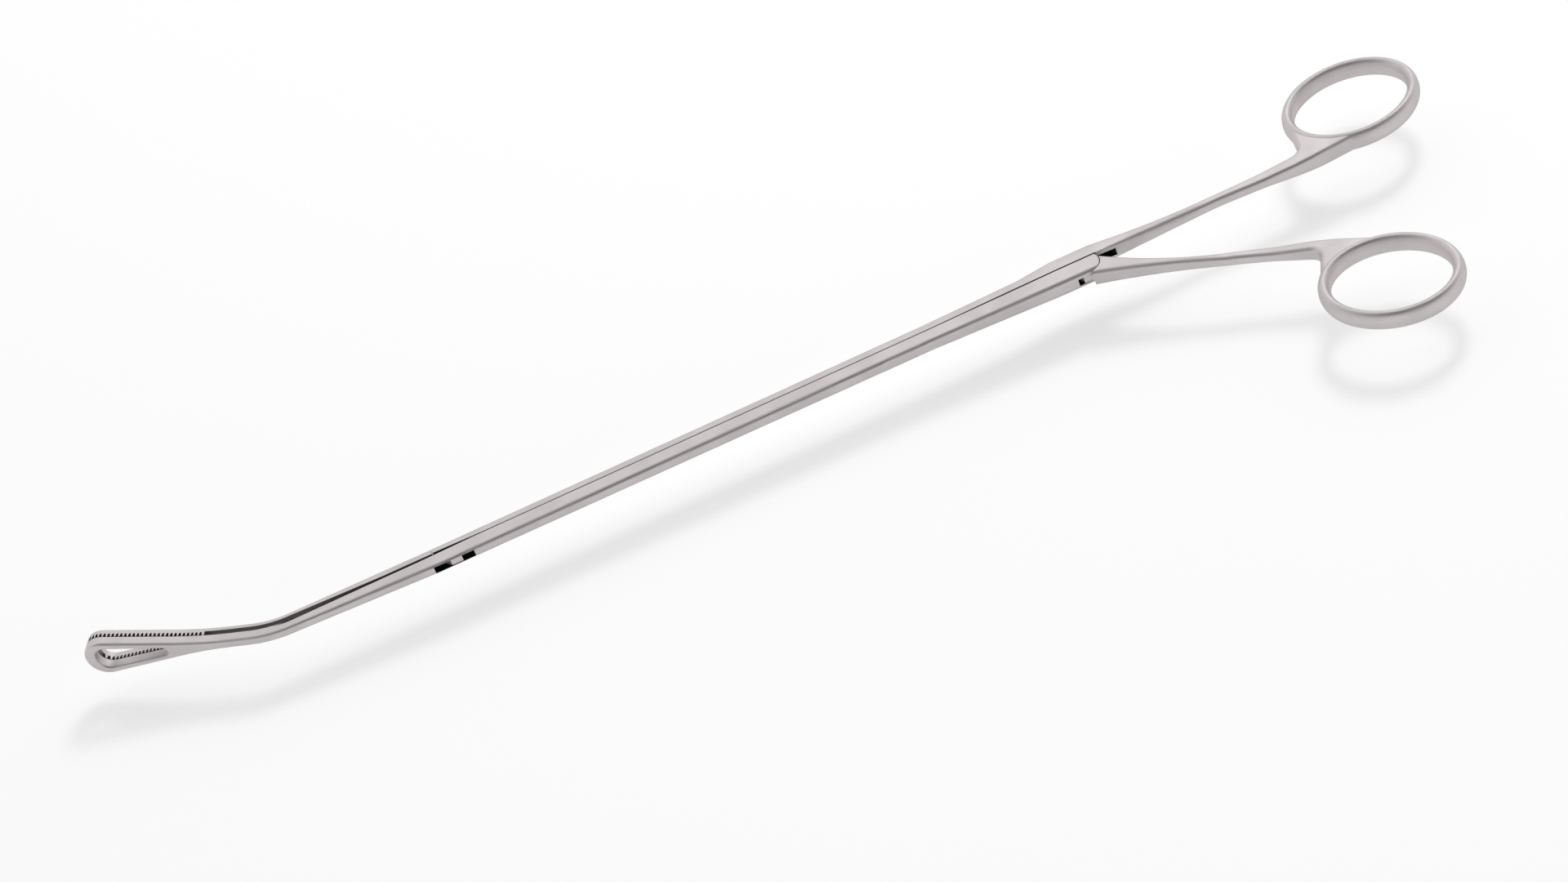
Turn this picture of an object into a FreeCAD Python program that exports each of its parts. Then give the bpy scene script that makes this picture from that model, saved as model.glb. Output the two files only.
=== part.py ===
import FreeCAD, Part
import math
import os
import re

import Sketcher

# Thoracoscopic forceps with a split sliding shaft, in millimetres.
# The origin is the handle pivot's axis where it meets the flat underside of the joint.
# The shaft runs along X with the jaws towards -X, the thumb handle opens towards -Y, and +Z is up.
# The two half shafts meet on the upright split plane, at y = split_y.

SIZES = [
    ("split_y", 1.9, "distance from the handle pivot to the split plane"),
    ("slide_gap", 0.1, "running gap between the two half shafts"),
    ("joint_height", 4.4, "height of the joint, above its flat underside"),
    ("joint_near_depth", 5.0, "near half of the joint, from the split"),
    ("joint_far_depth", 4.2, "far half of the joint, from the split"),
    ("joint_corner", 1.3, "corner radius along the joint"),
    ("joint_front", -7.0, "front end of the joint's full section"),
    ("shoulder_front", -16.0, "where the far half's shoulder starts to rise"),
    ("shoulder_depth", 3.1, "far half's depth there"),
    ("shoulder_height", 4.15, "height of the shaft there"),
    ("flare_front", -40.0, "where the joint's flare has run out into the shaft"),
    ("flare_height", 3.5, "shaft height at the end of the flare"),
    ("flare_near_depth", 4.0, "near half shaft's depth at the end of the flare"),
    ("flare_far_depth", 2.7, "far half shaft's depth at the end of the flare"),
    ("shaft_height", 2.9, "height of the shaft at the jaws"),
    ("shaft_corner", 1.15, "corner radius along the shaft"),
    ("split_chamfer", 0.12, "broken edges along the split"),
    ("shaft_near_depth", 4.2, "near half shaft's depth at the jaw joint"),
    ("shaft_far_depth", 2.4, "far half shaft's depth at the jaw joint"),
    ("far_bar_end", -165.6, "front end of the far half shaft"),
    ("pivot_end_radius", 3.3, "rounded end of the near half shaft"),
    ("handle_pin_radius", 1.2, "handle pivot pin"),
    ("drive_pin_radius", 0.7, "handle drive pin"),
    ("drive_offset", 3.4, "handle pivot to handle drive pin, across the shaft"),
    ("half_travel", 0.478, "half of the far bar's travel"),
    ("pin_clearance", 0.04, "radial running clearance of a pin"),
    ("tongue_height", 1.8, "thumb handle's tongue"),
    ("tongue_side_gap", 0.1, "gap on each side of a tongue"),
    ("tongue_radius", 3.1, "tongue's round lug about the handle pivot"),
    ("flank_front", -1.9, "front end of the tongue's flat side, at rest"),
    ("flank_depth", 3.0, "handle pivot to the tongue's flat side, at rest"),
    ("prong_reach", 4.3, "tongue's forked end, from the handle pivot"),
    ("prong_width", 3.2, "tongue's forked end, across both prongs"),
    ("pocket_depth", 2.95, "far bar's pocket, from the split"),
    ("pocket_front", -3.4, "front end of the far bar's pocket"),
    ("pocket_floor_end", 4.6, "where the pocket's floor starts to rise"),
    ("pocket_rear", 8.3, "where the pocket's ramp reaches the split"),
    ("fork_slot_front", -3.3, "front end of the near bar's fork slot"),
    ("fork_gap", 0.25, "gap between the rounded end and the thumb handle"),
    ("handle_angle", 25.7, "thumb handle at rest, from parallel with the shaft"),
    ("ring_half_length", 15.4, "finger ring's centre line, half its length"),
    ("ring_half_width", 12.6, "finger ring's centre line, half its width"),
    ("ring_bar_width", 3.0, "finger ring's bar, in the ring's plane"),
    ("ring_bar_height", 5.1, "finger ring's bar, across the ring's plane"),
    ("far_ring_x", 74.5, "fixed ring's centre"),
    ("far_ring_y", 15.0, "fixed ring's centre"),
    ("thumb_ring_x", 71.8, "thumb ring's centre, with the handles parallel"),
    ("thumb_ring_y", -16.3, "thumb ring's centre, with the handles parallel"),
    ("shank_corner", 1.15, "corner radius along a handle's shank"),
    ("web_height", 4.7, "flat web between a shank and its ring"),
    ("rise_radius", 40.0, "side view: turns where a shank rises to its web"),
    ("web_rise", 15.0, "length over which a shank rises to its web's height"),
    ("web_reach", 4.0, "from the notch to where the web is flat"),
    ("web_lead", 3.0, "straight start of the web, along the shank"),
    ("far_notch_x", 57.1, "fixed handle: notch between shank and ring"),
    ("far_notch_y", 5.1, "fixed handle: shank's edge at the notch"),
    ("far_heel_x", 58.0, "fixed handle: where the outer edge turns into the ring"),
    ("far_heel_y", 0.9, "fixed handle: outer edge there"),
    ("thumb_notch_x", 55.4, "thumb handle: notch between shank and ring"),
    ("thumb_notch_y", -4.9, "thumb handle: shank's edge at the notch"),
    ("thumb_heel_x", 54.0, "thumb handle: where the outer edge turns into the ring"),
    ("thumb_heel_y", -1.35, "thumb handle: outer edge there"),
    ("notch_radius", 2.8, "notch between shank and ring"),
    ("heel_radius", 60.0, "turn of the outer edge into the ring"),
    ("shank_front", 3.0, "where the fixed handle's shank starts"),
    ("thumb_front", 2.0, "where the thumb handle's shank starts"),
    ("thumb_front_low", -3.7, "thumb handle's near edge there"),
    ("thumb_front_high", 2.9, "thumb handle's far edge there"),
    ("jaw_bend_x", -206.8, "where the jaws turn"),
    ("jaw_bend_angle", 25.0, "angle the jaws turn through"),
    ("jaw_bend_radius", 24.0, "radius of the turn on the split plane"),
    ("jaw_length", 46.7, "from the turn to the jaw's tip"),
    ("jaw_near_depth", 2.6, "near jaw, from its gripping face"),
    ("jaw_far_depth", 2.6, "far jaw's back, from the near jaw's gripping face"),
    ("jaw_height", 2.5, "height of the jaws behind the loop"),
    ("jaw_corner", 0.85, "corner radius along the jaws' backs"),
    ("window_corner", 0.5, "corner radius round the window on the jaws' backs"),
    ("jaw_relief", 1.25, "gap between the jaws behind the teeth"),
    ("jaw_contact_gap", 0.08, "gap between tooth tips and near jaw when closed"),
    ("jaw_root_x", -201.3, "where the bent part of the jaws starts"),
    ("loop_half_height", 5.8, "half the height of the loop, where its sides would meet the tip"),
    ("tip_flat", 0.2, "flat left at each side of a rounded end"),
    ("loop_length", 29.8, "from the tip to where the loop starts to widen"),
    ("loop_blend_radius", 90.0, "blend from the straight jaw to the loop"),
    ("window_half_height", 3.6, "window at its wide end"),
    ("window_rear_half_height", 1.15, "window at its narrow end"),
    ("window_length", 18.0, "window along the jaw"),
    ("loop_rim", 2.75, "rim between the window and the tip"),
    ("tooth_zone", 30.0, "toothed length, from the tip"),
    ("tooth_pitch", 1.0, "one tooth to the next"),
    ("tooth_depth", 1.0, "depth of the groove between two teeth"),
    ("tooth_gap", 0.78, "width of the groove at the teeth's tips"),
    ("tooth_floor", 0.42, "width of the groove's floor"),
    ("tooth_floor_radius", 0.16, "corners of the groove's floor"),
    ("tooth_count", 28, "grooves along the toothed length"),
    ("jaw_pivot_x", -161.1, "jaw pivot"),
    ("jaw_pivot_depth", 1.05, "jaw pivot, from the split into the near bar"),
    ("jaw_drive_offset", 2.0, "jaw pivot to jaw drive pin, across the shaft"),
    ("jaw_pin_radius", 0.55, "jaw pivot pin"),
    ("jaw_drive_radius", 0.5, "jaw drive pin"),
    ("jaw_tongue_height", 1.7, "far jaw's tongue"),
    ("far_slot_rear", -156.9, "rear end of the far bar's slot"),
    ("jaw_lug_half_width", 1.4, "far jaw's lug about the jaw pivot"),
    ("jaw_lug_reach", 2.75, "far jaw's lug, from the jaw pivot towards the near face"),
    ("jaw_slot_front", -166.7, "front end of the near bar's slot"),
    ("jaw_slot_rear", -156.6, "rear end of the near bar's slot"),
    ("jaw_shoulder_gap", 0.3, "gap between the far bar's end and the far jaw"),
    ("stud_radius", 0.5, "guide stud's shank"),
    ("stud_head_radius", 0.9, "guide stud's head"),
    ("stud_head_height", 0.6, "guide stud's head"),
    ("stud_lip", 0.9, "wall between the split and the head's channel"),
    ("stud_clearance", 0.06, "running gap about a stud"),
    ("front_stud_x", -152.0, "guide stud by the jaw joint"),
    ("middle_stud_x", -90.0, "guide stud half way along"),
    ("rear_stud_x", -26.0, "guide stud by the handle joint"),
]

# Each handle's shank at its stations: place along X, near edge, far edge and height.
STATIONS = {
    "far_neck": (16.0, 1.7, 4.75, 3.8),
    "far_waist": (33.0, 2.0, 4.7, 2.9),
    "thumb_neck": (12.0, -3.2, 0.5, 3.9),
    "thumb_waist": (33.0, -3.8, -1.2, 2.9),
}
for station, numbers in STATIONS.items():
    for ending, number in zip(("x", "low", "high", "height"), numbers):
        SIZES.append(("%s_%s" % (station, ending), number, "shank's %s at its station" % ending))

SHEET = "Sizes"
doc = FreeCAD.newDocument("Forceps")


def make_sheet():
    sheet = doc.addObject("Spreadsheet::Sheet", SHEET)
    for row, (alias, value, note) in enumerate(SIZES, start=1):
        sheet.set("A%d" % row, str(value))
        sheet.setAlias("A%d" % row, alias)
        sheet.set("B%d" % row, note)
    doc.recompute()
    return sheet


sheet = make_sheet()
ALIASES = re.compile(r"\b(%s)\b" % "|".join(alias for alias, _, _ in SIZES))


def formula(text):
    """Puts the sheet's name before each size that a formula names."""
    return ALIASES.sub(SHEET + r".\1", str(text))


def value(text):
    """Works a formula out, for a sketch's first geometry."""
    return float(sheet.evalExpression(formula(text)))


def bind(target, path, text):
    target.setExpression(path, formula(text))


# Places that more than one piece is built from.
MID = "joint_height / 2"
NEAR_INNER = "split_y - slide_gap / 2"
FAR_INNER = "split_y + slide_gap / 2"
DRIVE_X = "-half_travel"
JAW_PIVOT_Y = "split_y - jaw_pivot_depth"
JAW_DRIVE_Y = "split_y - jaw_pivot_depth + jaw_drive_offset"
JAW_DRIVE_X = "jaw_pivot_x - half_travel"
BEND_SLOPE = "tan(jaw_bend_angle / 2)"
TONGUE_SLOT = "tongue_height + 2 * tongue_side_gap"
JAW_SLOT = "jaw_tongue_height + 2 * tongue_side_gap"


def body_named(name):
    body = doc.addObject("PartDesign::Body", name)
    body.Label = name
    return body


def origin_plane(body, role):
    return next(o for o in body.Origin.OriginFeatures if o.Role == role)


def sketch_on(body, name, role, offset="0"):
    """Adds a sketch parallel to one of the body's own planes, offset along its normal."""
    sketch = body.newObject("Sketcher::SketchObject", name)
    sketch.AttachmentSupport = [(origin_plane(body, role), "")]
    sketch.MapMode = "FlatFace"
    bind(sketch, "AttachmentOffset.Base.z", offset)
    return sketch


def pin_down(sketch, geometry, point, x_text, y_text):
    """Holds one point of a sketch at formulas for its two coordinates."""
    for kind, text in (("DistanceX", x_text), ("DistanceY", y_text)):
        number = sketch.addConstraint(Sketcher.Constraint(kind, -1, 1, geometry, point, value(text)))
        bind(sketch, "Constraints[%d]" % number, text)


def corner_points(points, radii):
    """Returns where each corner's arc starts and ends, its centre, and whether it turns left."""
    result = []
    count = len(points)
    for i, (point, radius) in enumerate(zip(points, radii)):
        if radius is None:
            result.append((point, point, None, True))
            continue
        back = (points[i - 1] - point).normalize()
        ahead = (points[(i + 1) % count] - point).normalize()
        half = math.acos(max(-1.0, min(1.0, back.dot(ahead)))) / 2
        reach = radius / math.tan(half)
        centre = point + (back + ahead).normalize() * (radius / math.sin(half))
        result.append((point + back * reach, point + ahead * reach, centre, ahead.cross(back).z > 0))
    return result


def arc_between(centre, start, end):
    """Anticlockwise arc about a centre."""
    first = math.atan2(start.y - centre.y, start.x - centre.x)
    last = math.atan2(end.y - centre.y, end.x - centre.x)
    if last < first:
        last += 2 * math.pi
    ring_line = Part.Circle(centre, FreeCAD.Vector(0, 0, 1), start.distanceToPoint(centre))
    return Part.ArcOfCircle(ring_line, first, last)


def outline(sketch, corners):
    """Draws a closed outline whose corners are (x, y) or (x, y, radius) formulas."""
    points = [FreeCAD.Vector(value(c[0]), value(c[1]), 0) for c in corners]
    radii = [value(c[2]) if len(c) == 3 else None for c in corners]
    shaped = corner_points(points, radii)
    count = len(corners)
    lines = []
    for i in range(count):
        start = shaped[i][1]
        end = shaped[(i + 1) % count][0]
        lines.append(sketch.addGeometry(Part.LineSegment(start, end), False))
        following = (i + 1) % count
        square = square_line(corners[i], corners[following])
        if square and radii[i] is not None and radii[following] is not None:
            sketch.addConstraint(Sketcher.Constraint(square, lines[i]))
    for i, corner in enumerate(corners):
        before = lines[i - 1]
        after = lines[i]
        if radii[i] is None:
            sketch.addConstraint(Sketcher.Constraint("Coincident", before, 2, after, 1))
            pin_down(sketch, after, 1, corner[0], corner[1])
            continue
        start, end, centre, left = shaped[i]
        arc = sketch.addGeometry(arc_between(centre, start, end) if left else arc_between(centre, end, start), False)
        first, last = (1, 2) if left else (2, 1)
        sketch.addConstraint(Sketcher.Constraint("Tangent", before, 2, arc, first))
        sketch.addConstraint(Sketcher.Constraint("Tangent", arc, last, after, 1))
        number = sketch.addConstraint(Sketcher.Constraint("Radius", arc, radii[i]))
        bind(sketch, "Constraints[%d]" % number, corner[2])
        vertex = sketch.addGeometry(Part.Point(points[i]), True)
        pin_down(sketch, vertex, 1, corner[0], corner[1])
        square_before = radii[i - 1] is not None and square_line(corners[i - 1], corner)
        if not square_before:
            sketch.addConstraint(Sketcher.Constraint("PointOnObject", vertex, 1, before))
        sketch.addConstraint(Sketcher.Constraint("PointOnObject", vertex, 1, after))


def square_line(corner, other):
    """Names the constraint for a line whose corners share a coordinate's formula."""
    if corner[0] == other[0]:
        return "Vertical"
    if corner[1] == other[1]:
        return "Horizontal"
    return None


def circle(sketch, x_text, y_text, radius_text):
    shape = Part.Circle(FreeCAD.Vector(value(x_text), value(y_text), 0), FreeCAD.Vector(0, 0, 1), value(radius_text))
    number = sketch.addGeometry(shape, False)
    pin_down(sketch, number, 3, x_text, y_text)
    radius = sketch.addConstraint(Sketcher.Constraint("Radius", number, value(radius_text)))
    bind(sketch, "Constraints[%d]" % radius, radius_text)


def ellipse(sketch, x_text, y_text, half_x, half_y):
    """Draws an ellipse along the sketch's axes, held by its centre and two diameters."""
    centre = FreeCAD.Vector(value(x_text), value(y_text), 0)
    across = FreeCAD.Vector(value(half_x), 0, 0)
    upward = FreeCAD.Vector(0, value(half_y), 0)
    wide = across.Length >= upward.Length
    major, minor = (across, upward) if wide else (upward, across)
    number = sketch.addGeometry(Part.Ellipse(centre + major, centre + minor, centre), False)
    sketch.exposeInternalGeometry(number)
    pin_down(sketch, number, 3, x_text, y_text)
    sketch.addConstraint(Sketcher.Constraint("Horizontal" if wide else "Vertical", number + 1))
    texts = (half_x, half_y) if wide else (half_y, half_x)
    for line, text in zip((number + 1, number + 2), texts):
        size = sketch.addConstraint(Sketcher.Constraint("Distance", line, 2 * value(text)))
        bind(sketch, "Constraints[%d]" % size, "2 * (%s)" % text)


def section(body, name, x, low_y, high_y, height, low_corner, high_corner):
    """Adds a rounded bar's cross-section at x, centred on the middle of the joint's height."""
    sketch = sketch_on(body, name, "YZ_Plane", x)
    bottom = "(%s) - (%s) / 2" % (MID, height)
    top = "(%s) + (%s) / 2" % (MID, height)
    outline(sketch, [
        (low_y, bottom, low_corner),
        (high_y, bottom, high_corner),
        (high_y, top, high_corner),
        (low_y, top, low_corner),
    ])
    return sketch


def loft(body, name, sections, ruled=True):
    feature = body.newObject("PartDesign::AdditiveLoft", name)
    feature.Profile = sections[0]
    feature.Sections = sections[1:]
    feature.Ruled = ruled
    return feature


def pad(body, name, sketch, length):
    """Pads a sketch to both sides of its plane."""
    feature = body.newObject("PartDesign::Pad", name)
    feature.Profile = sketch
    feature.Midplane = True
    bind(feature, "Length", length)
    return feature


def pocket(body, name, sketch, length=None):
    """Cuts to both sides of a sketch's plane: through everything, or over a length."""
    before = body.Tip.Shape.Volume if not body.Tip.Shape.isNull() else None
    feature = body.newObject("PartDesign::Pocket", name)
    feature.Profile = sketch
    feature.Midplane = True
    if length is None:
        feature.Type = "ThroughAll"
    else:
        bind(feature, "Length", length)
    doc.recompute()
    if before is not None and feature.Shape.Volume > before - 1e-4:
        raise RuntimeError(name + " cuts nothing")
    return feature


def along_jaw(distance, offset):
    """Point at a distance from the jaws' turn and an offset from the gripping face, in plan."""
    return (
        "jaw_bend_x - (%s) * cos(jaw_bend_angle) + (%s) * sin(jaw_bend_angle)" % (distance, offset),
        "split_y + (%s) * sin(jaw_bend_angle) + (%s) * cos(jaw_bend_angle)" % (distance, offset),
    )


def jaw_turn(offset):
    """Rounded corner of a line that follows the jaws' turn at an offset."""
    return (
        "jaw_bend_x + (%s) * %s" % (offset, BEND_SLOPE),
        "split_y + (%s)" % offset,
        "jaw_bend_radius - (%s)" % offset,
    )


def jaw_side_sketch(body, name):
    """Sketch that faces the jaw's gripping face: x runs from the turn, and the tip is at -jaw_length."""
    sketch = body.newObject("Sketcher::SketchObject", name)
    sketch.AttachmentSupport = [(origin_plane(body, "XZ_Plane"), "")]
    sketch.MapMode = "FlatFace"
    turn = FreeCAD.Rotation(FreeCAD.Vector(0, 1, 0), -value("jaw_bend_angle"))
    sketch.AttachmentOffset = FreeCAD.Placement(FreeCAD.Vector(), turn)
    bind(sketch, "AttachmentOffset.Rotation.Angle", "-jaw_bend_angle")
    bind(sketch, "AttachmentOffset.Base.x", "jaw_bend_x")
    bind(sketch, "AttachmentOffset.Base.z", "-split_y")
    return sketch


def cut_loop(body):
    """Trims a padded jaw to the loop's outline, and cuts the window in it."""
    widen = "loop_length - jaw_length"
    lean = "atan((loop_half_height - jaw_height / 2) / loop_length)"
    tip_radius = "(loop_half_height - tip_flat) / tan(45 deg + %s / 2)" % lean
    low = "%s - jaw_height / 2" % MID
    high = "%s + jaw_height / 2" % MID
    clear = "jaw_length"
    around = jaw_side_sketch(body, body.Label + "_loop_outline")
    outline(around, [
        (clear, clear),
        ("-jaw_length - 2 * loop_half_height", clear),
        ("-jaw_length - 2 * loop_half_height", "-" + clear),
        (clear, "-" + clear),
        (clear, low),
        (widen, low, "loop_blend_radius"),
        ("-jaw_length", MID + " - loop_half_height", tip_radius),
        ("-jaw_length", MID + " + loop_half_height", tip_radius),
        (widen, high, "loop_blend_radius"),
        (clear, high),
    ])
    pocket(body, body.Label + "_loop", around)
    window_lean = "atan((window_half_height - window_rear_half_height) / window_length)"
    wide = "(window_half_height - tip_flat) / tan(45 deg + %s / 2)" % window_lean
    narrow = "(window_rear_half_height - tip_flat) / tan(45 deg - %s / 2)" % window_lean
    front = "loop_rim - jaw_length"
    rear = "loop_rim + window_length - jaw_length"
    window = jaw_side_sketch(body, body.Label + "_window_outline")
    outline(window, [
        (front, MID + " - window_half_height", wide),
        (rear, MID + " - window_rear_half_height", narrow),
        (rear, MID + " + window_rear_half_height", narrow),
        (front, MID + " + window_half_height", wide),
    ])
    pocket(body, body.Label + "_window", window)


def jaw_offset(point):
    """Offset of a point from the gripping face, measured square to the bent jaw."""
    turned = math.radians(value("jaw_bend_angle"))
    radius = value("jaw_bend_radius")
    centre_x = value("jaw_bend_x") + radius * math.tan(turned / 2)
    across = FreeCAD.Vector(point.x - centre_x, point.y - value("split_y") - radius, 0)
    bearing = min(max(math.atan2(-across.x, -across.y), 0.0), turned)
    return radius + across.x * math.sin(bearing) + across.y * math.cos(bearing)


def lies_at(points, offset):
    """Tells whether all points lie at one offset from the gripping face."""
    return all(abs(jaw_offset(point) - offset) < 1e-3 for point in points)


def round_back(body, depth):
    """Rounds the edges of a jaw's back, first round the loop and then round the window."""
    doc.recompute()
    root = body.Tip.Shape.BoundBox.XMax
    for name, radius, inside in (("back", "jaw_corner", False), ("window", "window_corner", True)):
        base = body.Tip
        back = [face for face in base.Shape.Faces if lies_at([v.Point for v in face.Vertexes], value(depth))]
        names = []
        for number, edge in enumerate(base.Shape.Edges, start=1):
            samples = edge.discretize(5)
            sides = sum(any(edge.isSame(other) for other in face.Edges) for face in back)
            at_root = all(abs(p.x - root) < 1e-3 for p in samples)
            if sides == 1 and not at_root and in_window(samples[2]) == inside:
                names.append("Edge%d" % number)
        feature = body.newObject("PartDesign::Fillet", "%s_%s_round" % (body.Label, name))
        feature.Base = (base, names)
        bind(feature, "Radius", radius)
        doc.recompute()
    return feature


def in_window(point):
    """Tells whether a point lies on the window's outline rather than the loop's."""
    turned = math.radians(value("jaw_bend_angle"))
    away = FreeCAD.Vector(value("jaw_bend_x") - point.x, point.y - value("split_y"), 0)
    distance = away.x * math.cos(turned) + away.y * math.sin(turned)
    front = value("jaw_length - loop_rim")
    rear = front - value("window_length")
    return rear - 0.01 < distance < front + 0.01 and abs(point.z - value(MID)) < value("window_half_height") + 0.01


def cut_teeth(body, name):
    """Cuts the cross grooves that leave the far jaw's pointed teeth."""
    start = "(jaw_length - tooth_zone + tooth_pitch / 2)"
    side = "(tooth_gap - tooth_floor) / 2"
    first = sketch_on(body, name + "_outline", "XY_Plane", MID)
    tips = "jaw_contact_gap - jaw_relief / 2"
    spread = "%s * (tooth_depth + jaw_relief / 2) / tooth_depth" % side
    floor = "jaw_contact_gap + tooth_depth"
    outline(first, [
        along_jaw("%s + %s - %s" % (start, side, spread), tips),
        along_jaw("%s + tooth_gap - %s + %s" % (start, side, spread), tips),
        along_jaw("%s + tooth_gap - %s" % (start, side), floor) + ("tooth_floor_radius",),
        along_jaw("%s + %s" % (start, side), floor) + ("tooth_floor_radius",),
    ])
    groove = pocket(body, name, first)
    row = body.newObject("PartDesign::LinearPattern", name + "_row")
    row.Originals = [groove]
    guide = jaw_side_sketch(body, name + "_guide")
    guide.addGeometry(Part.LineSegment(FreeCAD.Vector(0, 0, 0), FreeCAD.Vector(-1, 0, 0)), True)
    row.Direction = (guide, ["H_Axis"])
    row.Reversed = True
    bind(row, "Length", "tooth_pitch * (tooth_count - 1)")
    bind(row, "Occurrences", "tooth_count")
    body.Tip = row
    doc.recompute()
    return row


def half_section(body, name, x, side, depth, height, corner):
    """Adds a half shaft's section: broken edges along the split, and rounded outer corners."""
    sketch = sketch_on(body, name, "YZ_Plane", x)
    away = "-" if side < 0 else "+"
    inner = "split_y %s slide_gap / 2" % away
    broken = "%s %s split_chamfer" % (inner, away)
    outer = "split_y %s (%s)" % (away, depth)
    bottom = "%s - (%s) / 2" % (MID, height)
    top = "%s + (%s) / 2" % (MID, height)
    corners = [
        (inner, bottom + " + split_chamfer"),
        (broken, bottom),
        (outer, bottom, corner),
        (outer, top, corner),
        (broken, top),
        (inner, top + " - split_chamfer"),
    ]
    outline(sketch, corners if side > 0 else corners[::-1])
    return sketch


def drill(body, name, x, y, radius):
    """Drills right through along Z."""
    hole = sketch_on(body, name + "_outline", "XY_Plane", MID)
    circle(hole, x, y, radius)
    return pocket(body, name, hole)


def side_sketch(body, name, y):
    """Adds a sketch that faces the split, at a place along Y."""
    return sketch_on(body, name, "XZ_Plane", "-(%s)" % y)


def cut_channel(body, name, x):
    """Cuts the undercut channel and its entry for one guide stud into the near bar."""
    travel = "2 * half_travel"
    shank = "stud_radius + stud_clearance"
    head = "stud_head_radius + stud_clearance"
    neck = side_sketch(body, name + "_neck_outline", "split_y")
    rectangle(neck, "%s - (%s)" % (x, shank), "%s + %s + %s" % (x, travel, shank), MID, shank)
    pocket(body, name + "_neck", neck, "2 * stud_lip")
    middle = "split_y - stud_lip - stud_head_height / 2"
    wide = side_sketch(body, name + "_wide_outline", middle)
    rectangle(wide, "%s - (%s)" % (x, head), "%s + %s + 2 * stud_head_radius" % (x, travel), MID, head)
    pocket(body, name + "_wide", wide, "stud_head_height + 2 * stud_clearance")
    entry = side_sketch(body, name + "_entry_outline", "split_y")
    circle(entry, "%s + %s + 2 * stud_head_radius" % (x, travel), MID, head)
    pocket(body, name + "_entry", entry, "2 * (stud_lip + stud_head_height + stud_clearance)")


def rectangle(sketch, left, right, middle, half_height):
    outline(sketch, [
        (left, "%s - (%s)" % (middle, half_height)),
        (right, "%s - (%s)" % (middle, half_height)),
        (right, "%s + %s" % (middle, half_height)),
        (left, "%s + %s" % (middle, half_height)),
    ])


def make_jaw_bar():
    """Near half shaft: round end and fork at the handle, one long bar, and the near jaw."""
    body = body_named("jaw_bar")
    plan = sketch_on(body, "jaw_bar_plan", "XY_Plane", MID)
    inner = "-slide_gap / 2"
    outer = "-jaw_near_depth"
    outline(plan, [
        ("jaw_root_x", "split_y + (%s)" % inner),
        jaw_turn(inner),
        along_jaw("jaw_length", inner),
        along_jaw("jaw_length", outer),
        jaw_turn(outer),
        ("jaw_root_x", "split_y + (%s)" % outer),
    ])
    pad(body, "jaw_bar_jaw", plan, "4 * loop_half_height")
    doc.recompute()
    cut_loop(body)
    round_back(body, "-jaw_near_depth")
    sections = [
        half_section(body, "near_jaw_end", "jaw_root_x", -1, "jaw_near_depth", "jaw_height", "jaw_corner"),
        half_section(body, "near_slot", "far_bar_end", -1, "shaft_near_depth", "shaft_height", "shaft_corner"),
        half_section(body, "near_flare", "flare_front", -1, "flare_near_depth", "flare_height", "shaft_corner"),
        half_section(body, "near_joint", "joint_front", -1, "joint_near_depth", "joint_height", "joint_corner"),
        half_section(body, "near_end", "pivot_end_radius", -1, "joint_near_depth", "joint_height", "joint_corner"),
    ]
    loft(body, "jaw_bar_shaft", sections)
    doc.recompute()
    waste = sketch_on(body, "jaw_bar_end_outline", "XZ_Plane")
    rectangle(waste, "pivot_end_radius", "pivot_end_radius + 2 * joint_near_depth", MID, "joint_height")
    groove = body.newObject("PartDesign::Groove", "jaw_bar_end")
    groove.Profile = waste
    groove.ReferenceAxis = (waste, ["V_Axis"])
    groove.Midplane = True
    groove.Angle = 180
    doc.recompute()
    fork = sketch_on(body, "jaw_bar_fork_outline", "XY_Plane", MID)
    outline(fork, [
        ("fork_slot_front", "-2 * joint_near_depth"),
        ("2 * pivot_end_radius", "-2 * joint_near_depth"),
        ("2 * pivot_end_radius", "2 * joint_near_depth"),
        ("fork_slot_front", "2 * joint_near_depth"),
    ])
    pocket(body, "jaw_bar_fork", fork, TONGUE_SLOT)
    slot = sketch_on(body, "jaw_bar_slot_outline", "XY_Plane", MID)
    outline(slot, [
        ("jaw_slot_front", "-2 * joint_near_depth"),
        ("jaw_slot_rear", "-2 * joint_near_depth"),
        ("jaw_slot_rear", "2 * joint_near_depth"),
        ("jaw_slot_front", "2 * joint_near_depth"),
    ])
    pocket(body, "jaw_bar_slot", slot, JAW_SLOT)
    drill(body, "jaw_bar_pivot_hole", "0", "0", "handle_pin_radius")
    drill(body, "jaw_bar_jaw_hole", "jaw_pivot_x", JAW_PIVOT_Y, "jaw_pin_radius")
    for name in ("front", "middle", "rear"):
        cut_channel(body, "jaw_bar_%s_channel" % name, name + "_stud_x")
    return body


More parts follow.
